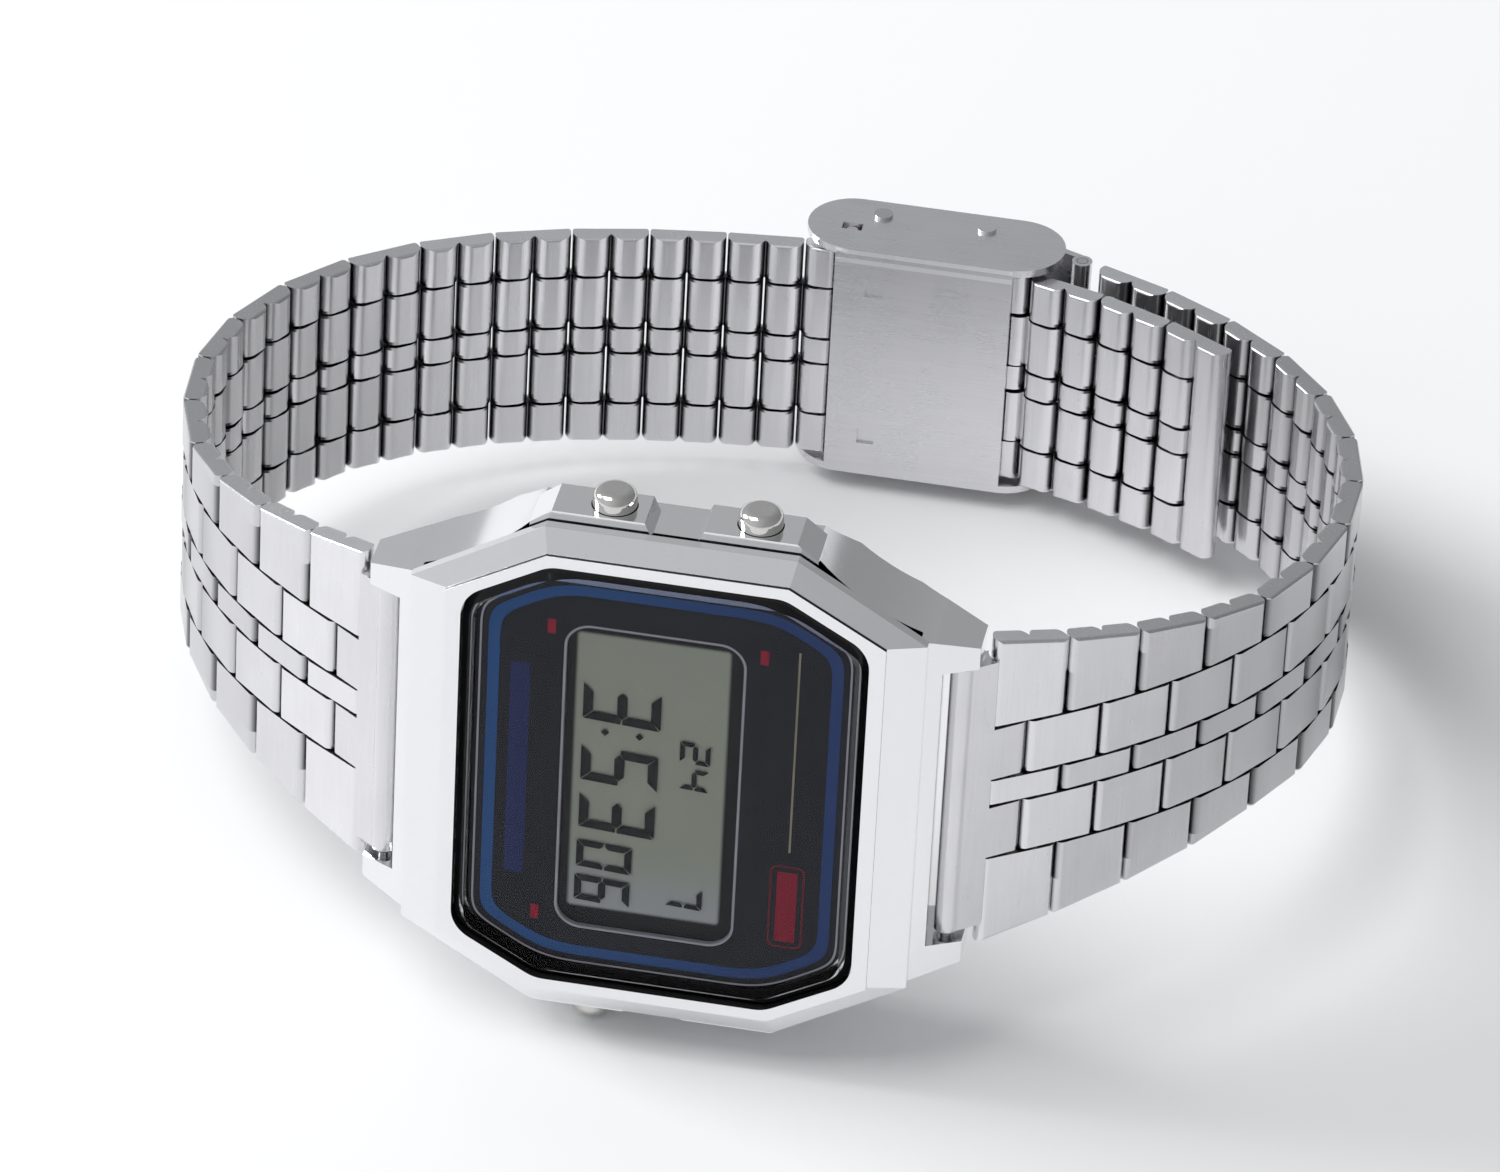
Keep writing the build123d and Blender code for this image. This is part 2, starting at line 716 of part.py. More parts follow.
# End links: a folded plate on the spring bar, whose two tabs hold the first pin
def end_link(side, name):
    bar = (side * bar_x, bar_y)
    first = (side * first_pin_x, first_pin_y)
    reach = hypot(first[0] - bar[0], first[1] - bar[1])
    half_z = lug_slot_half_z - end_link_side_gap
    tab = link_length / 2 - half_pitch / 2
    clear = tab + link_gap
    with BuildPart() as piece:
        with BuildSketch(Plane.XY.offset(-half_z)) as profile:
            Circle(link_inner)
            with Locations(((reach + tab) / 2, (link_outer - link_inner) / 2)):
                Rectangle(reach + tab, link_outer + link_inner)
            fillet(profile.vertices().group_by(Axis.X)[-1].sort_by(Axis.Y)[-1], radius=outer_round)
            fillet(profile.vertices().group_by(Axis.X)[-1].sort_by(Axis.Y)[0], radius=end_link_round)
            with Locations((reach, 0)):
                Circle(hole_radius, mode=Mode.SUBTRACT)
            Circle(bar_radius + pin_clearance, mode=Mode.SUBTRACT)
        extrude(amount=2 * half_z)
        with Locations((reach, 0, 0)):
            Cylinder(clear, centre_width + 2 * column_gap, mode=Mode.SUBTRACT)
        for end in (-1, 1):
            tab_end = inner_start_z + inner_link_width
            with Locations((reach, 0, end * (tab_end + half_z + overrun) / 2)):
                Cylinder(clear, half_z + overrun - tab_end, mode=Mode.SUBTRACT)
    heading = degrees(atan2(first[1] - bar[1], first[0] - bar[0]))
    finish(Compound(placed([piece.part.solid()], bar, heading, -side)), name)


end_link(1, "end_link_12")
end_link(-1, "end_link_6")

# Captured rows: the six o'clock strand runs on through the clasp, which grips three of its pitches.
# Past the clasp it dips inward, and its tail hangs free inside the twelve o'clock strand.
captured_steps = 2 * captured_rows
tail_steps = 2 * tail_rows + 1
inner_headings = [0] * (captured_steps - 1) + [-tail_dip]
inner_headings += [-tail_angle - tail_turn * step for step in range(tail_steps)]
inner_points = strand_points((captured_start_x, clasp_y), inner_headings, half_pitch)


def inner_row(first_step):
    threes = row_of_three(band_width, band_width)
    pieces = placed(threes, inner_points[first_step], inner_headings[first_step], 1)
    return pieces + placed(row_of_two(), inner_points[first_step + 1], inner_headings[first_step + 1], 1)


captured = []
for row in range(captured_rows):
    captured += inner_row(2 * row)
finish(Compound(captured), "captured_rows")
for row in range(tail_rows):
    finish(Compound(inner_row(captured_steps + 2 * row)), f"tail_row_{row + 1}")

# Tail bar: the full-width end piece, whose three knuckles hold the last pin
bar_clear = link_length / 2 - half_pitch / 2 + link_gap
with BuildPart() as tail_bar:
    with BuildSketch(Plane.XY.offset(-band_width / 2)):
        add(link_profile())
    extrude(amount=band_width)
    end_room = end_prism(band_width / 2, band_width / 2)
    add(end_room, mode=Mode.INTERSECT)
    add(end_room.mirror(upside), mode=Mode.INTERSECT)
    for side in (-1, 1):
        with Locations((0, 0, side * (inner_start_z + inner_link_width / 2))):
            Cylinder(bar_clear, inner_link_width + 2 * column_gap, mode=Mode.SUBTRACT)
    Cylinder(hole_radius, band_width - 2 * pin_cover, mode=Mode.SUBTRACT)
tail_end = placed(
    [tail_bar.part.solid(), pin(band_width / 2 - pin_cover - pin_clearance)], inner_points[-2], inner_headings[-1], 1
)
finish(Compound(tail_end), "tail_bar")

# Clasp body: a plate inside the bracelet, bent up at both edges into an oblong wall
wall_inner_z = band_width / 2 + wall_gap
wall_outer_z = wall_inner_z + clasp_sheet
clasp_middle_x = (clasp_left_x + clasp_right_x) / 2
lock_y = clasp_y + link_outer + lock_gap + lock_thickness / 2
clasp_hinge_y = clasp_back_y - clasp_hinge_back
with BuildPart() as clasp_body:
    with BuildSketch(Plane.XY.offset(-wall_outer_z)):
        with Locations((clasp_middle_x, plate_inner_y + clasp_height / 2)):
            SlotOverall(clasp_right_x - clasp_left_x, clasp_height)
    extrude(amount=clasp_sheet)
    with BuildSketch(Plane.XY.offset(wall_inner_z)):
        with Locations((clasp_middle_x, plate_inner_y + clasp_height / 2)):
            SlotOverall(clasp_right_x - clasp_left_x, clasp_height)
    extrude(amount=clasp_sheet)
    with BuildSketch(Plane.YZ.offset(plate_left_x)) as channel:
        with Locations((plate_inner_y + plate_bend_height / 2, 0)):
            Rectangle(plate_bend_height, 2 * wall_outer_z)
        fillet(channel.vertices().group_by(Axis.X)[0], radius=wall_bend)
        with Locations((plate_inner_y + clasp_sheet + plate_bend_height / 2, 0)):
            Rectangle(plate_bend_height, 2 * wall_inner_z, mode=Mode.SUBTRACT)
    extrude(amount=plate_right_x - plate_left_x)
    for side in (-1, 1):
        with Locations((window_x, plate_inner_y, side * window_z)):
            Box(window_size, 2 * window_depth, window_size, mode=Mode.SUBTRACT)
        with Locations((slot_x, lock_y, side * wall_outer_z)):
            Box(slot_length, slot_height, overrun, mode=Mode.SUBTRACT)
        with Locations((clasp_hinge_x, clasp_hinge_y, side * wall_outer_z)):
            Cylinder(clasp_hinge_radius + pin_clearance, overrun, mode=Mode.SUBTRACT)
        with Locations(Plane((dimple_x, clasp_hinge_y, side * wall_outer_z), z_dir=(0, 0, side))):
            Cylinder(dimple_radius, dimple_height, align=(Align.CENTER, Align.CENTER, Align.MIN))
finish(clasp_body.part, "clasp_body")

# Clasp cover: a plate that folds out on two ears, bent down at its far end into three knuckles
cover_half_z = wall_inner_z - cover_gap
cover_top_y = clasp_back_y - cover_gap
knuckle_clear = link_length / 2 - half_pitch / 2 + link_gap
with BuildPart() as clasp_cover:
    with BuildSketch(Plane.XY.offset(-cover_half_z)):
        with BuildLine():
            Polyline(
                (clasp_hinge_x + cover_left, cover_top_y),
                (cover_bend_x, cover_top_y),
                (cover_pin_x, cover_pin_y + link_outer),
                (cover_pin_x, cover_pin_y + link_outer - clasp_sheet),
                (cover_bend_x, cover_top_y - clasp_sheet),
                (clasp_hinge_x + cover_left, cover_top_y - clasp_sheet),
                close=True,
            )
        make_face()
        with Locations((cover_pin_x, cover_pin_y)):
            Circle(link_outer)
    extrude(amount=2 * cover_half_z)
    for side in (-1, 1):
        with Locations((cover_pin_x, cover_pin_y, side * (inner_start_z + inner_link_width / 2))):
            Cylinder(knuckle_clear, inner_link_width + 2 * column_gap, mode=Mode.SUBTRACT)
        ear_start = cover_half_z - ear_thickness if side > 0 else -cover_half_z
        with BuildSketch(Plane.XY.offset(ear_start)):
            with Locations((clasp_hinge_x, clasp_hinge_y)):
                Circle(ear_radius)
            with Locations(((clasp_hinge_x + dimple_x) / 2, (clasp_hinge_y + cover_top_y) / 2)):
                Rectangle(dimple_x - clasp_hinge_x, cover_top_y - clasp_hinge_y)
        extrude(amount=ear_thickness)
        with Locations((clasp_hinge_x, clasp_hinge_y, side * cover_half_z)):
            Cylinder(clasp_hinge_radius + pin_clearance, overrun, mode=Mode.SUBTRACT)
    with Locations((cover_pin_x, cover_pin_y, 0)):
        Cylinder(hole_radius, 2 * (cover_half_z + overrun), mode=Mode.SUBTRACT)
finish(clasp_cover.part, "clasp_cover")

# Clasp pins: two short rivets in the walls and the long pin at the cover's end
with BuildPart() as clasp_rivets:
    rivet_length = wall_outer_z - (cover_half_z - ear_thickness)
    for side in (-1, 1):
        with Locations(Plane((clasp_hinge_x, clasp_hinge_y, side * wall_outer_z), z_dir=(0, 0, side))):
            Cylinder(clasp_hinge_radius, rivet_length, align=(Align.CENTER, Align.CENTER, Align.MAX))
            Cylinder(dimple_radius, dimple_height, align=(Align.CENTER, Align.CENTER, Align.MIN))
finish(clasp_rivets.part, "clasp_rivets")

cover_pin = pin(cover_half_z).moved(Location((cover_pin_x, cover_pin_y, 0)))
finish(Compound([cover_pin]), "cover_pin")

# Lock plate: a lever over the captured rows whose tabs turn in the walls' slots
with BuildPart() as lock_plate:
    lock_half_z = cover_half_z - ear_thickness - cover_gap
    with Locations((slot_x + lock_length / 2, lock_y, 0)):
        Box(lock_length, lock_thickness, 2 * lock_half_z)
    with Locations((slot_x, lock_y, 0)):
        Cylinder(slot_height / 2 - pin_clearance, 2 * wall_outer_z - clasp_sheet)
finish(lock_plate.part, "lock_plate")

# Lay the watch down: the start button's tip and the clasp's far lower edge stand on the floor
foot_drop = button_tip_z - wall_outer_z
foot_run = clasp_back_y - button_y
lean = degrees(atan2(foot_drop, foot_run))
turn = Location((0, 0, 0), (-lean, 0, 0))
boxes = [piece.moved(turn).bounding_box() for piece in finished]
low = [min(box.min.X for box in boxes), min(box.min.Y for box in boxes), min(box.min.Z for box in boxes)]
high = [max(box.max.X for box in boxes), max(box.max.Y for box in boxes)]
lay = Location((-(low[0] + high[0]) / 2, -(low[1] + high[1]) / 2, -low[2])) * turn

os.makedirs("parts", exist_ok=True)
for piece in finished:
    laid = piece.moved(lay)
    laid.label = piece.label
    export_step(laid, f"parts/{piece.label}.step")
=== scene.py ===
import math

import bpy
import numpy as np
from mathutils import Matrix, Vector


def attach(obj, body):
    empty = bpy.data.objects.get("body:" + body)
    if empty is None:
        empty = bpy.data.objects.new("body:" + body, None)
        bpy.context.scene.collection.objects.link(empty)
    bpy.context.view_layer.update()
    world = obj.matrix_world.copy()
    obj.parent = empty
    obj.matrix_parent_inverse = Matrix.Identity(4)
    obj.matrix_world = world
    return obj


# Digital watch on a closed steel bracelet, standing on its three o'clock side on a white table.
# The solids come from the frame in metres. A name that ends in _mm, and every place along the
# watch's own axes, is in millimetres.
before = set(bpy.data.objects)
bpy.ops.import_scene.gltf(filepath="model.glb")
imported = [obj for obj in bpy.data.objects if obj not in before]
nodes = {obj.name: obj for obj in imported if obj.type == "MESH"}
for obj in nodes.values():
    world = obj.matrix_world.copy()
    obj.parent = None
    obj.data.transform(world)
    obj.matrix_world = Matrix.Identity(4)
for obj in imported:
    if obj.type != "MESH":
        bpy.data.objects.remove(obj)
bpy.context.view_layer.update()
scene = bpy.context.scene
scene.view_settings.view_transform = "Standard"


# Camera: a long lens that looks down on the dial from its nine o'clock side. It was fitted to the
# octagon of the bezel, the window of the display and the pins of the bracelet.
camera_turn = math.radians(10.604)
camera_rise = math.radians(44.568)
camera_roll = math.radians(0.527)
camera_target = Vector((0.000468, -0.006585, 0.017243))
camera_distance = 0.61394
camera = bpy.data.objects.new("camera", bpy.data.cameras.new("camera"))
scene.collection.objects.link(camera)
camera.data.sensor_width = 36
camera.data.lens = 240
camera.data.clip_start = 0.01
camera.data.clip_end = 10
turned = Matrix.Rotation(camera_turn, 4, "Z") @ Matrix.Rotation(math.pi / 2 - camera_rise, 4, "X")
eye = camera_target + turned @ Vector((0, 0, camera_distance))
camera.matrix_world = Matrix.Translation(eye) @ turned @ Matrix.Rotation(camera_roll, 4, "Z")
scene.camera = camera


# Table: one white matt sheet under and far behind the watch, so that it is also the background.
# Its colour wavers a little, as paper does.
class Shade:
    """One output in a node tree. Arithmetic on it adds Math nodes."""

    def __init__(self, tree, socket=None):
        self.tree = tree
        self.socket = socket

    def node(self, kind, settings=None, inputs=None, output=0):
        """Adds a node of this kind: its settings first, then its inputs as values or as shades."""
        made = self.tree.nodes.new(kind)
        for name, value in (settings or {}).items():
            setattr(made, name, value)
        for name, value in (inputs or {}).items():
            if isinstance(value, Shade):
                self.tree.links.new(value.socket, made.inputs[name])
            else:
                made.inputs[name].default_value = value
        return Shade(self.tree, made.outputs[output] if made.outputs else None)

    def math(self, operation, *operands):
        return self.node("ShaderNodeMath", {"operation": operation}, dict(enumerate(operands)))

    def __add__(self, other):
        return self.math("ADD", self, other)

    def __sub__(self, other):
        return self.math("SUBTRACT", self, other)

    def __rsub__(self, other):
        return self.math("SUBTRACT", other, self)

    def __mul__(self, other):
        return self.math("MULTIPLY", self, other)

    def __abs__(self):
        return self.math("ABSOLUTE", self)

    def __lt__(self, other):
        return self.math("LESS_THAN", self, other)

    def __gt__(self, other):
        return self.math("GREATER_THAN", self, other)

    __radd__ = __add__
    __rmul__ = __mul__

    def most(self, other):
        return self.math("MAXIMUM", self, other)

    def least(self, other):
        return self.math("MINIMUM", self, other)

    def soft_most(self, other, reach):
        """The larger of two values, with the corner between them rounded over this reach."""
        return self.math("SMOOTH_MAX", self, other, reach)

    def length(self, other):
        """The root of the sum of two squares."""
        total = self * self + other * other
        return total.math("SQRT", total)

    def between(self, low, high):
        """One where this value lies between the two limits, else nought."""
        return (self > low) * (self < high)

    def fade(self, start, end, low=0.0, high=1.0):
        """Goes smoothly from low to high as this value goes from start to end."""
        limits = {"Value": self, "From Min": start, "From Max": end, "To Min": low, "To Max": high}
        return self.node("ShaderNodeMapRange", {"interpolation_type": "SMOOTHSTEP"}, limits)

    def blend(self, first, second):
        """Goes from the first colour to the second as this value goes from nought to one."""
        return self.node("ShaderNodeMix", {"data_type": "RGBA"}, {0: self, 6: first, 7: second}, 2)

    def noise(self, where, waves, detail=3.0):
        """Noise around one half at a place. Its waves are a count per unit along each axis."""
        scaled = self.node("ShaderNodeVectorMath", {"operation": "MULTIPLY"}, {0: where, 1: waves})
        return self.node("ShaderNodeTexNoise", None, {"Vector": scaled, "Scale": 1.0, "Detail": detail})


def new_material(name):
    """An empty material, and a shade to add its nodes from."""
    material = bpy.data.materials.new(name)
    material.use_nodes = True
    material.node_tree.nodes.clear()
    return material, Shade(material.node_tree)


def surface(shade, colour, roughness, metallic=0.0, bump=None, bump_depth=0.0, **inputs):
    """Ends a material with the standard surface shader, its bump from a height between nought and one."""
    values = {"Base Color": colour, "Roughness": roughness, "Metallic": metallic}
    values.update({name.replace("_", " "): value for name, value in inputs.items()})
    if bump is not None:
        heights = {"Height": bump, "Distance": bump_depth, "Strength": 1.0}
        values["Normal"] = shade.node("ShaderNodeBump", None, heights)
    return shade.node("ShaderNodeBsdfPrincipled", None, values)


def end_material(shade, shader):
    shade.node("ShaderNodeOutputMaterial", None, {"Surface": shader})


table_half = 2.5
paper_grey = (0.87, 0.87, 0.88, 1)
paper_white = (0.89, 0.89, 0.895, 1)
paper_waves = (6.0, 6.0, 6.0)
table_mesh = bpy.data.meshes.new("table")
table_corners = [
    (-table_half, -table_half, 0),
    (table_half, -table_half, 0),
    (table_half, table_half, 0),
    (-table_half, table_half, 0),
]
table_mesh.from_pydata(table_corners, [], [(0, 1, 2, 3)])
table = bpy.data.objects.new("table", table_mesh)
scene.collection.objects.link(table)
paper, shade = new_material("paper")
place = shade.node("ShaderNodeTexCoord", output="Object")
tone = shade.noise(place, paper_waves)
end_material(shade, surface(shade, tone.blend(paper_grey, paper_white), roughness=0.75))
table_mesh.materials.append(paper)


# Studio light: an even pale room, darker behind the watch and to its right. One soft lamp hangs
# above, and one stands far to the left and throws the shadow to the right.
room_in_front, room_behind = 0.78, 0.60
room_at_left, room_at_right = 0.92, 0.46
room_white = (0.96, 0.98, 1.0, 1)
world = bpy.data.worlds.new("studio")
world.use_nodes = True
world.node_tree.nodes.clear()
scene.world = world
shade = Shade(world.node_tree)
direction = shade.node("ShaderNodeTexCoord", output="Generated")
axes = shade.node("ShaderNodeSeparateXYZ", None, {0: direction})
across, depth, height = [Shade(world.node_tree, output) for output in axes.socket.node.outputs]
room = depth.fade(-0.6, 0.8, room_in_front, room_behind) * across.fade(-0.8, 0.9, room_at_left, room_at_right)
background = shade.node("ShaderNodeBackground", None, {"Color": room_white, "Strength": room})
shade.node("ShaderNodeOutputWorld", None, {"Surface": background})


def lamp(name, place, size, power, aim):
    """A square soft lamp at a place, facing its aim."""
    light = bpy.data.lights.new(name, "AREA")
    light.size = size
    light.energy = power
    holder = bpy.data.objects.new(name, light)
    scene.collection.objects.link(holder)
    facing = (Vector(aim) - Vector(place)).to_track_quat("-Z", "Y")
    holder.matrix_world = Matrix.Translation(place) @ facing.to_matrix().to_4x4()


lamp("lamp_above", place=(-0.35, -0.05, 0.75), size=0.45, power=2.7, aim=(0, 0, 0))
lamp("lamp_left", place=(-1.35, 0.25, 0.75), size=0.5, power=15.5, aim=(0, 0, 0.02))


# End links and tail bar: folded and drawn stainless steel, brushed along the bracelet's pins, with
# cloudy patches and fine wear. The end links turn on the spring bars between the lugs.
# The watch leans back, so its own axes are turned to place grain and print: X to twelve, Y in, Z to nine.
lean = math.radians(11.20423)
watch_origin_mm = (1.23223, 29.80995, -13.76994)
mm = 0.001


def watch_place(shade):
    """The place on a surface in millimetres along the watch's own axes."""
    place = shade.node("ShaderNodeTexCoord", output="Object")
    moves = {"Vector": place, "Location": watch_origin_mm, "Rotation": (lean, 0, 0), "Scale": (1 / mm,) * 3}
    return shade.node("ShaderNodeMapping", {"vector_type": "POINT"}, moves)


def split(shade, vector):
    """The three parts of a vector."""
    parts = shade.node("ShaderNodeSeparateXYZ", None, {0: vector})
    return [Shade(shade.tree, output) for output in parts.socket.node.outputs]


cloud_waves = (0.35, 0.35, 0.2)
scratch_waves = (2.2, 2.2, 0.5)
scratch_roughness = 0.06
shadow_grey = (0.035, 0.035, 0.04, 1)
highlight_white = (1.0, 1.0, 1.0, 1)


def steel(name, colour, roughness, grain, grain_depth, grain_share, cloud_share=0.05, shadow=None,
          painted_highlight=None):
    """Steel of one colour and finish. The grain is three numbers: waves per millimetre along the
    watch's axes. The shares say how far grain and clouds change the colour and the roughness.
    A shadow is a function that is one where shade is painted dark into the steel, and the other function is
    one where a highlight is painted white into it."""
    material, shade = new_material(name)
    place = watch_place(shade)
    streaks = shade.noise(place, grain, 2.0)
    clouds = shade.noise(place, cloud_waves, 4.0)
    scratches = shade.noise(place, scratch_waves, 6.0).fade(0.66, 0.72)
    worn = clouds * cloud_share + streaks * grain_share
    spread = 0.4 * grain_share + 2.0 * cloud_share
    dark = tuple(part * (1 - spread) for part in colour) + (1,)
    light = tuple(min(1.0, part * (1 + spread)) for part in colour) + (1,)
    tint = (clouds * 0.5 + streaks * 0.5).blend(dark, light)
    # Painted shade and painted highlight, mixed into the steel's colour
    if shadow:
        tint = shadow(shade).blend(tint, shadow_grey)
    if painted_highlight:
        tint = painted_highlight(shade).blend(tint, highlight_white)
    rough = worn + scratches * scratch_roughness + (roughness - cloud_share / 2 - grain_share / 2)
    end_material(shade, surface(shade, tint, rough, 1.0, streaks, grain_depth))
    return material


def dress(names, material):
    """Gives a material to these nodes."""
    for name in names:
        node = nodes[name]
        node.data.materials.clear()
        node.data.materials.append(material)


brushed_along_pins = {"roughness": 0.25, "grain": (9.0, 9.0, 0.25), "grain_depth": 3e-6, "grain_share": 0.10}
link_steel = steel("link_steel", (0.70, 0.695, 0.71), **brushed_along_pins)
dress(["tail_bar", "end_link_12", "end_link_6"], link_steel)


# Bracelet rows: folded steel links on steel pins, flat outside and with two round lobes inside.
# Shade is painted into the steel between them: it darkens with the depth below their faces, and more
# beside the gaps between the columns. The rows in the two tight bends are painted darker, as painted shade.
row_colour = (0.77, 0.765, 0.78)
outer_face_mm = 0.65
inner_dark_mm = (0.68, 0.26)
outer_dark_mm = (-0.57, -0.22)
corner_dark_mm = (0.745, 0.58)
valley_share = 0.84
corner_share = 0.97
column_gaps_mm = (0.95, 4.75)
corner_reach_mm = 0.3
band_half_mm = 7.55
loop_middle_mm = np.array((0.0, 28.0))
bend_start_mm = 22.0
bend_reach_mm = 9.0
bend_painted_shade = 0.26


def row_painted_shade(node):
    """For one row, a function of the place for its painted shade, nought on its outer and inner faces
    and one between them, and the row's brightness, painted lower in the bends as shade. Seen along the pins,
    the row's vertices spread least in the direction through it, and depth is the distance from the plane of
    its pins in that direction."""
    places = np.array([vertex.co for vertex in node.data.vertices])
    turned_back = places @ np.array(Matrix.Rotation(-lean, 3, "X")) / mm + watch_origin_mm
    flat = turned_back[:, :2]
    middle = (flat.min(axis=0) + flat.max(axis=0)) / 2
    normal = np.linalg.svd(flat - flat.mean(axis=0), full_matrices=False)[2][1]
    normal = normal * np.sign(normal @ (loop_middle_mm - middle))
    pins = (flat @ normal).min() + outer_face_mm
    # Painted shade: the rows in the two bends are painted darker
    bend = min(1.0, max(0.0, (abs(float(middle[0])) - bend_start_mm) / bend_reach_mm))

    def valley_shade(shade):
        x, y, z = split(shade, watch_place(shade))
        inward = x * float(normal[0]) + y * float(normal[1]) - float(pins)
        # Painted shade: dark in the valleys below the faces, darker still beside the column gaps
        outer = inward.fade(*outer_dark_mm)
        valley = inward.fade(*inner_dark_mm).least(outer) * valley_share
        from_gap = abs(abs(z) - column_gaps_mm[0]).least(abs(abs(z) - column_gaps_mm[1]))
        corner = inward.fade(*corner_dark_mm).least(outer) * (from_gap < corner_reach_mm) * corner_share
        return valley.most(corner) * (abs(z) < band_half_mm)

    return valley_shade, 1 - bend * bend_painted_shade


rows = [name for name in nodes if name.startswith("row_") or name.startswith("tail_row")]
for name in rows + ["captured_rows"]:
    valley_shade, brightness = row_painted_shade(nodes[name])
    colour = tuple(part * brightness for part in row_colour)
    dress([name], steel(name + "_steel", colour, **brushed_along_pins, shadow=valley_shade))


# Case shell: one milled and polished block of steel that holds everything else. The undercut below
# the bezel and the small step round the crystal are painted dark, as painted shade.
def octagon_distance(x, z, half_x, half_z, flat_x, flat_z, rounding=0.0):
    """How far a place lies outside an octagon, below nought inside it: the most of its distances
    from the straight sides and from the slanted ones. The rounding softens where they meet."""
    across, along = half_x - flat_x, half_z - flat_z
    length = math.hypot(across, along)
    corner = (abs(x) - flat_x) * (along / length) + (abs(z) - half_z) * (across / length)
    sides = (abs(x) - half_x).most(abs(z) - half_z)
    if rounding:
        return sides.soft_most(corner, rounding)
    return sides.most(corner)


undercut_mm = (1.12, 1.96)
undercut_half_x = 15.05
undercut_half_z = 16.5
step_edge = {"half_x": 13.3, "half_z": 15.7, "flat_x": 7.3, "flat_z": 12.3}
step_half_width = 0.04
step_mm = (-0.47, -0.24)


def case_shadow(shade):
    """Painted shade: one in the undercut, between its two depths, and on the step of the bezel, along its
    edge.
    """
    x, y, z = split(shade, watch_place(shade))
    undercut = y.between(*undercut_mm) * (abs(x) < undercut_half_x) * (abs(z) < undercut_half_z)
    from_step = abs(octagon_distance(x, z, **step_edge))
    return undercut.most((from_step < step_half_width) * y.between(*step_mm))


polished = {"roughness": 0.13, "grain": (3.0, 3.0, 3.0), "grain_depth": 2e-7, "grain_share": 0.02}
case_steel = steel("case_steel", (0.84, 0.84, 0.85), **polished, cloud_share=0.015, shadow=case_shadow)
dress(["case_shell"], case_steel)


# Case back and small turned parts: the back is a brushed steel plate held by four screws, and the
# screws, spring bars, rivets and the cover's pin are turned from bar.
brushed = {"roughness": 0.28, "grain": (8.0, 8.0, 0.3), "grain_depth": 2e-6, "grain_share": 0.10}
dress(["case_back"], steel("back_steel", (0.60, 0.60, 0.61), **brushed))
turned_finish = {"roughness": 0.22, "grain": (7.0, 7.0, 7.0), "grain_depth": 1e-6, "grain_share": 0.08}
turned_steel = steel("turned_steel", (0.60, 0.60, 0.61), **turned_finish)
dress(["case_back_screws", "spring_bars", "clasp_rivets", "cover_pin"], turned_steel)


# Buttons: three turned and polished steel caps on stems, each pushed in against its spring
buttons = ["light_button", "mode_button", "start_button"]
button_finish = {"roughness": 0.10, "grain": (5.0, 5.0, 5.0), "grain_depth": 5e-7, "grain_share": 0.05}
dress(buttons, steel("button_steel", (0.66, 0.65, 0.63), **button_finish))


# Clasp: sheet steel, folded and brushed along the bracelet. The body is a plate with an oblong wall
# bent up at each edge, and the cover and the lock lever turn between the walls.
# The body's upper bend is painted white in two lines, as a painted highlight.
clasp_colour = (0.73, 0.725, 0.74)
clasp_finish = {"roughness": 0.28, "grain": (0.25, 7.0, 7.0), "grain_depth": 1e-6, "grain_share": 0.04}
bend_edge_mm = (8.0, 8.32)
bend_inside_mm = (7.35, 7.7)
bend_inside_share = 0.8
plate_ends_mm = (1.3, 12.7)
plate_depth_mm = 50.2


def painted_bend_highlight(shade):
    """One on the two lines of painted highlight, along the edge of the plate that faces the inside of the
    loop.
    """
    x, y, z = split(shade, watch_place(shade))
    lines = z.between(*bend_edge_mm).most(z.between(*bend_inside_mm) * bend_inside_share)
    return lines * x.between(*plate_ends_mm) * (y < plate_depth_mm)


dress(["clasp_cover", "lock_plate"], steel("cover_steel", clasp_colour, **clasp_finish))
# The clasp body carries a painted highlight along its upper bend
dress(["clasp_body"], steel("clasp_steel", clasp_colour, **clasp_finish, painted_highlight=painted_bend_highlight))


# Crystal: mineral glass with a ground bevel, glued into the case. Its rim is painted black behind,
# so that the glue doesn't show.
crystal_edge = {"half_x": 11.5, "half_z": 13.95, "flat_x": 6.8, "flat_z": 11.2}
edge_rounding = 1.5
bevel_depth_mm = 0.5
front_clear_mm = 0.4
smudge_waves = (0.3, 0.3, 0.3)
glass_tint = (0.06, 0.06, 0.07, 1)
rim_black = (0.004, 0.004, 0.005, 1)
glass, shade = new_material("mineral_glass")
x, y, z = split(shade, watch_place(shade))
rim = octagon_distance(x, z, **crystal_edge, rounding=edge_rounding)
smudge = shade.noise(watch_place(shade), smudge_waves, 5.0)
clear = surface(
    shade,
    (1, 1, 1, 1),
    smudge.fade(0.45, 0.8, 0.0, 0.03),
    Transmission_Weight=1.0,
    IOR=1.5,
    Specular_Tint=glass_tint,
)
black = surface(shade, rim_black, smudge.fade(0.2, 0.8, 0.05, 0.12), Specular_IOR_Level=0.25)
painted = rim > (y < bevel_depth_mm) * front_clear_mm
end_material(shade, shade.node("ShaderNodeMixShader", None, {0: painted, 1: clear, 2: black}))
dress(["crystal"], glass)


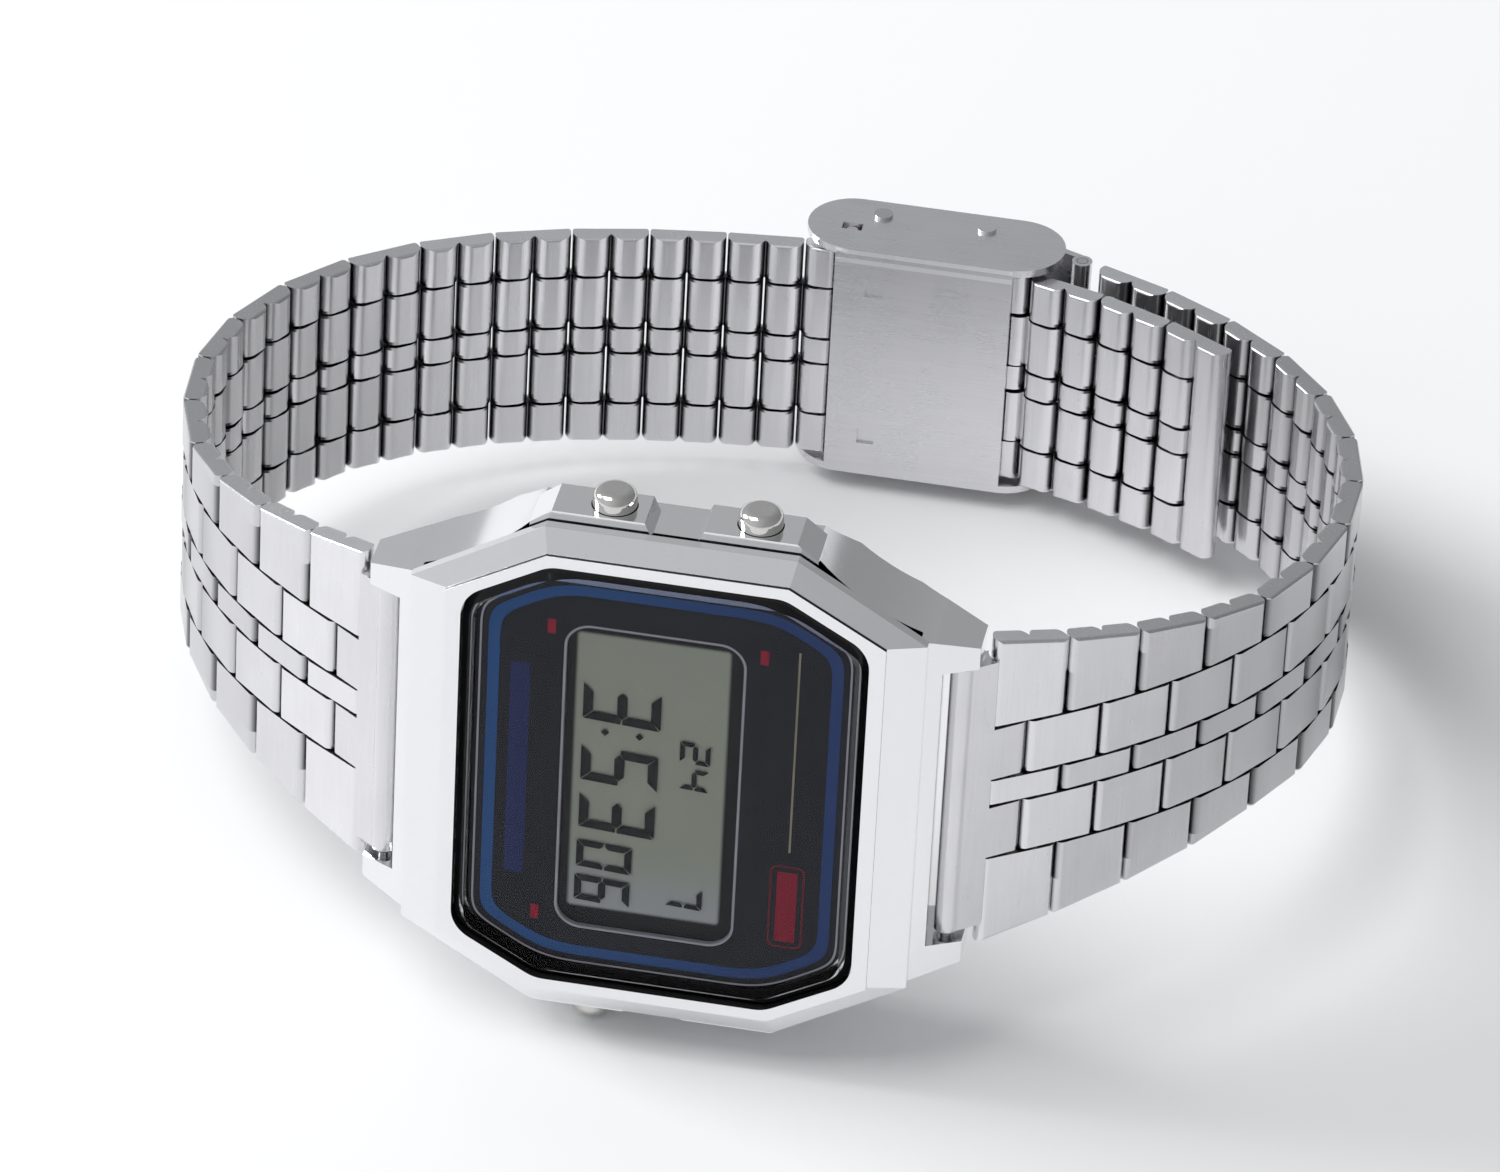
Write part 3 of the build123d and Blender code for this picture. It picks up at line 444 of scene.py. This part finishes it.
# Dial plate: a thin sheet printed black. A blue band and a fine silver line follow its edge, and a
# silver line its window. Small red marks stand by the buttons, a plain blue bar and a long gold line
# beside the window, and a red badge in a red frame below it.
dial_edge = {"half_x": 11.3, "half_z": 13.95, "flat_x": 6.9, "flat_z": 11.3}
blue_band_mm = (-1.25, -0.55)
silver_line_mm = (-0.14, -0.02)
window_line_mm = 0.15
window_edge = {"low_x": -6.0, "high_x": 4.75, "low_z": -11.2, "high_z": 10.5, "corner": 1.5}
gold_line = {"low_x": 8.0, "high_x": 8.13, "low_z": -3.65, "high_z": 10.8}
blue_bar = {"low_x": -9.35, "high_x": -8.15, "low_z": -7.9, "high_z": 7.35}
red_mark_places = ((-7.2, 9.75), (5.7, 9.6), (-7.6, -11.1))
red_mark_width = 0.5
red_mark_length = 1.0
badge_edge = {"low_x": 6.95, "high_x": 9.1, "low_z": -10.65, "high_z": -4.65, "corner": 0.5}
badge_frame_mm = (-0.13, 0.0)
badge_inside_mm = -0.45
speck_waves = (3.0, 3.0, 3.0)


def rectangle_distance(x, z, low_x, high_x, low_z, high_z, corner):
    """How far a place lies outside a rectangle with round corners, below nought inside it."""
    out_x = abs(x - (low_x + high_x) / 2) - ((high_x - low_x) / 2 - corner)
    out_z = abs(z - (low_z + high_z) / 2) - ((high_z - low_z) / 2 - corner)
    return out_x.most(0.0).length(out_z.most(0.0)) + out_x.most(out_z).least(0.0) - corner


def bar(low_x, high_x, low_z, high_z):
    """One inside a plain printed bar."""
    return x.between(low_x, high_x) * z.between(low_z, high_z)


ink, shade = new_material("dial_print")
x, y, z = split(shade, watch_place(shade))
edge = octagon_distance(x, z, **dial_edge, rounding=edge_rounding)
speck = shade.noise(watch_place(shade), speck_waves)
black_ink = speck.blend((0.010, 0.0115, 0.019, 1), (0.014, 0.016, 0.025, 1))
blue_ink = x.fade(-10.0, 10.0).blend((0.022, 0.10, 0.31, 1), (0.024, 0.062, 0.22, 1))
colour = edge.between(*blue_band_mm).blend(black_ink, blue_ink)
colour = edge.between(*silver_line_mm).blend(colour, (0.46, 0.45, 0.50, 1))
window = rectangle_distance(x, z, **window_edge)
colour = (window < window_line_mm).blend(colour, (0.42, 0.42, 0.47, 1))
colour = bar(**gold_line).blend(colour, (0.30, 0.27, 0.20, 1))
colour = bar(**blue_bar).blend(colour, (0.018, 0.030, 0.125, 1))
for low_x, low_z in red_mark_places:
    mark = bar(low_x, low_x + red_mark_width, low_z, low_z + red_mark_length)
    colour = mark.blend(colour, (0.36, 0.012, 0.035, 1))
badge = rectangle_distance(x, z, **badge_edge)
colour = badge.between(*badge_frame_mm).blend(colour, (0.15, 0.012, 0.022, 1))
colour = (badge < badge_inside_mm).blend(colour, (0.30, 0.01, 0.035, 1))
end_material(shade, surface(shade, colour, speck.fade(0.2, 0.8, 0.45, 0.55), Specular_IOR_Level=0.2))
dress(["dial_plate"], ink)


# Display: a liquid-crystal cell with a grey-green reflective film behind it. The frame round it
# leaves its rim in a soft painted shade, and its lower end is painted bluer and lighter, as a painted
# reflection.
film_waves = (6.0, 6.0, 6.0)
film_reflection_blue = (0.45, 0.48, 0.51, 1)
film_green = (0.39, 0.42, 0.355, 1)
film_speck = (0.30, 0.32, 0.27, 1)
film_shade = (0.008, 0.009, 0.012, 1)
film_edge = {"low_x": -5.45, "high_x": 3.95, "low_z": -9.95, "high_z": 10.0, "corner": 0.3}
film_shade_mm = (-0.22, 0.08)
film, shade = new_material("display_film")
x, y, z = split(shade, watch_place(shade))
grain = shade.noise(watch_place(shade), film_waves)
# Painted reflection: the lower end goes bluer and lighter
tone = z.fade(-10.0, -5.0).blend(film_reflection_blue, film_green)
tone = (grain * 0.2).blend(tone, film_speck)
# Painted shade round the rim, under the frame
inner = rectangle_distance(x, z, **film_edge)
tone = inner.fade(*film_shade_mm).blend(tone, film_shade)
end_material(shade, surface(shade, tone, grain.fade(0.2, 0.8, 0.45, 0.55), Specular_IOR_Level=0.2))
dress(["lcd_panel"], film)


# Digits: dark liquid-crystal segments, switched on inside the display's cell. They hang a little in
# front of the film, so that they shade it. Each figure reads towards -Z with its top towards +X.
segment_front_mm = 1.12
segment_back_mm = 1.14
segment_gap_mm = 0.05
slant_share = 0.06
segment_ends = {
    "top": ((0.0, 1.0), (1.0, 1.0), -1, 1, 1),
    "upper_left": ((0.0, 0.5), (0.0, 1.0), -1, 0, 1),
    "upper_right": ((1.0, 0.5), (1.0, 1.0), 1, 0, 1),
    "middle": ((0.0, 0.5), (1.0, 0.5), 0, 0, 0),
    "lower_left": ((0.0, 0.0), (0.0, 0.5), -1, 1, 0),
    "lower_right": ((1.0, 0.0), (1.0, 0.5), 1, 1, 0),
    "bottom": ((0.0, 0.0), (1.0, 0.0), 1, 1, 1),
}
segments_off = {
    "0": ["middle"],
    "2": ["upper_left", "lower_right"],
    "3": ["upper_left", "lower_left"],
    "4": ["top", "lower_left", "bottom"],
    "5": ["upper_right", "lower_left"],
    "6": ["upper_right"],
    "7": ["upper_left", "middle", "lower_left", "bottom"],
}
# Each figure: its shape, where it starts along Z, its width, its foot and top along X, and its stroke
figures = (
    ("3", 6.5, 2.6, -4.9, -0.15, 0.6),
    ("5", 2.0, 2.55, -4.9, -0.2, 0.6),
    ("3", -1.5, 2.5, -4.9, -0.25, 0.6),
    ("0", -4.95, 1.95, -4.95, -1.55, 0.44),
    ("6", -7.5, 1.85, -5.0, -1.6, 0.44),
    ("2", 3.2, 1.5, 1.1, 2.95, 0.3),
    ("4", 1.3, 1.5, 1.1, 2.95, 0.3),
    ("7", -7.35, 1.5, 0.6, 2.85, 0.32),
)
dot_heights = (-3.5, -1.4)
dot_start, dot_end, dot_stroke = 3.35, 2.75, 0.5
segment_dark = (0.009, 0.012, 0.014, 1)
segment_light = (0.015, 0.019, 0.021, 1)
segment_waves = (4.0, 4.0, 4.0)


def digit_bars(figure, start_z, width, low_x, high_x, stroke):
    """A row for each lit segment: its ends, its stroke, its outer side, and how far each end's
    outer corner reaches."""
    lit = []
    for name, (start, end, outer, start_reach, end_reach) in segment_ends.items():
        if name in segments_off[figure]:
            continue
        corners = []
        for across, up in (start, end):
            x = low_x + stroke / 2 + up * (high_x - low_x - stroke)
            slant = slant_share * (x - low_x)
            corners += [x, start_z - stroke / 2 - across * (width - stroke) - slant]
        lit.append(corners + [stroke, outer, start_reach, end_reach])
    return lit


def plates(bars, front_mm, back_mm):
    """Vertices and faces of one six-sided plate for each bar, between two depths. Its ends are
    mitred: an inner corner lies half a stroke inside the end, and an outer one at the end, or half
    a stroke beyond it."""
    bars = np.array(bars)
    start, end, stroke, outer, start_reach, end_reach = np.split(bars, [2, 4, 5, 6, 7], axis=1)
    along = (end - start) / np.linalg.norm(end - start, axis=1, keepdims=True)
    side = along[:, ::-1] * (1, -1)
    start = start + along * segment_gap_mm
    end = end - along * segment_gap_mm
    half = along * stroke / 2
    wide = side * stroke / 2
    left_start = np.where(outer > 0, -start_reach, 1) * half
    right_start = np.where(outer < 0, -start_reach, 1) * half
    left_end = np.where(outer > 0, -end_reach, 1) * half
    right_end = np.where(outer < 0, -end_reach, 1) * half
    ring = [
        start,
        start + left_start + wide,
        end - left_end + wide,
        end,
        end - right_end - wide,
        start + right_start - wide,
    ]
    ring = np.stack(ring, axis=1)
    front = np.insert(ring, 1, front_mm, axis=2)
    back = np.insert(ring, 1, back_mm, axis=2)
    points = np.concatenate([front, back], axis=1).reshape(-1, 3)
    first = np.arange(len(bars))[:, None] * 12
    faces = [tuple(face) for face in first + np.arange(6)[::-1]]
    faces += [tuple(face) for face in first + np.arange(6, 12)]
    for corner in range(6):
        following = (corner + 1) % 6
        faces += [tuple(face) for face in first + np.array([corner, following, following + 6, corner + 6])]
    return points, faces


def to_frame(points):
    """Points in millimetres along the watch's axes, turned and moved into the frame in metres."""
    moved = np.array(points) - watch_origin_mm
    return moved @ np.array(Matrix.Rotation(lean, 3, "X")) * mm


bars = []
for figure in figures:
    bars += digit_bars(*figure)
for dot_x in dot_heights:
    bars.append([dot_x, dot_start, dot_x, dot_end, dot_stroke, 0, 0, 0])
points, faces = plates(bars, segment_front_mm, segment_back_mm)
crystal_ink, shade = new_material("display_segments")
speck = shade.noise(watch_place(shade), segment_waves)
dark_segment = speck.blend(segment_dark, segment_light)
end_material(shade, surface(shade, dark_segment, speck.fade(0.2, 0.8, 0.45, 0.55), Specular_IOR_Level=0.2))
digit_mesh = bpy.data.meshes.new("digits")
digit_mesh.from_pydata(to_frame(points), [], faces)
digit_mesh.materials.append(crystal_ink)
digits = bpy.data.objects.new("digits", digit_mesh)
scene.collection.objects.link(digits)
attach(digits, "head")


# Inside the case: the board with its chip, the battery under its spring clamp, the moulded frame,
# the rubber seals and strips, the brass buzzer and the lamp's film, seen only in an open watch
clamp_finish = {"roughness": 0.3, "grain": (4.0, 4.0, 4.0), "grain_depth": 2e-6, "grain_share": 0.10}
dress(["battery_clamp"], steel("spring_steel", (0.5, 0.5, 0.5), **clamp_finish))


def plain(name, dark, light, roughness, waves, metallic=0.0):
    """A moulded or printed material: two near tones in small specks, and roughness that follows them."""
    material, shade = new_material(name)
    specks = shade.noise(watch_place(shade), (waves,) * 3)
    rough = specks.fade(0.2, 0.8, roughness - 0.05, roughness + 0.05)
    colour = specks.blend(dark + (1,), light + (1,))
    end_material(shade, surface(shade, colour, rough, metallic, specks, 5e-6))
    return material


black_plastic = plain("black_plastic", (0.012, 0.012, 0.013), (0.022, 0.022, 0.024), 0.45, 5.0)
seal_rubber = plain("seal_rubber", (0.02, 0.02, 0.02), (0.035, 0.035, 0.034), 0.7, 4.0)
board_green = plain("board_green", (0.01, 0.06, 0.03), (0.02, 0.10, 0.045), 0.4, 2.0)
battery_steel = plain("battery_steel", (0.55, 0.55, 0.56), (0.65, 0.65, 0.66), 0.3, 3.0, 1.0)
brass = plain("brass", (0.70, 0.50, 0.22), (0.80, 0.60, 0.28), 0.3, 3.0, 1.0)
lamp_film = plain("lamp_film", (0.45, 0.55, 0.50), (0.52, 0.62, 0.56), 0.5, 3.0)
dress(["module_frame", "processor_chip"], black_plastic)
dress(["button_seals", "back_gasket", "contact_strips"], seal_rubber)
dress(["circuit_board"], board_green)
dress(["battery"], battery_steel)
dress(["buzzer_disc"], brass)
dress(["lamp_panel"], lamp_film)
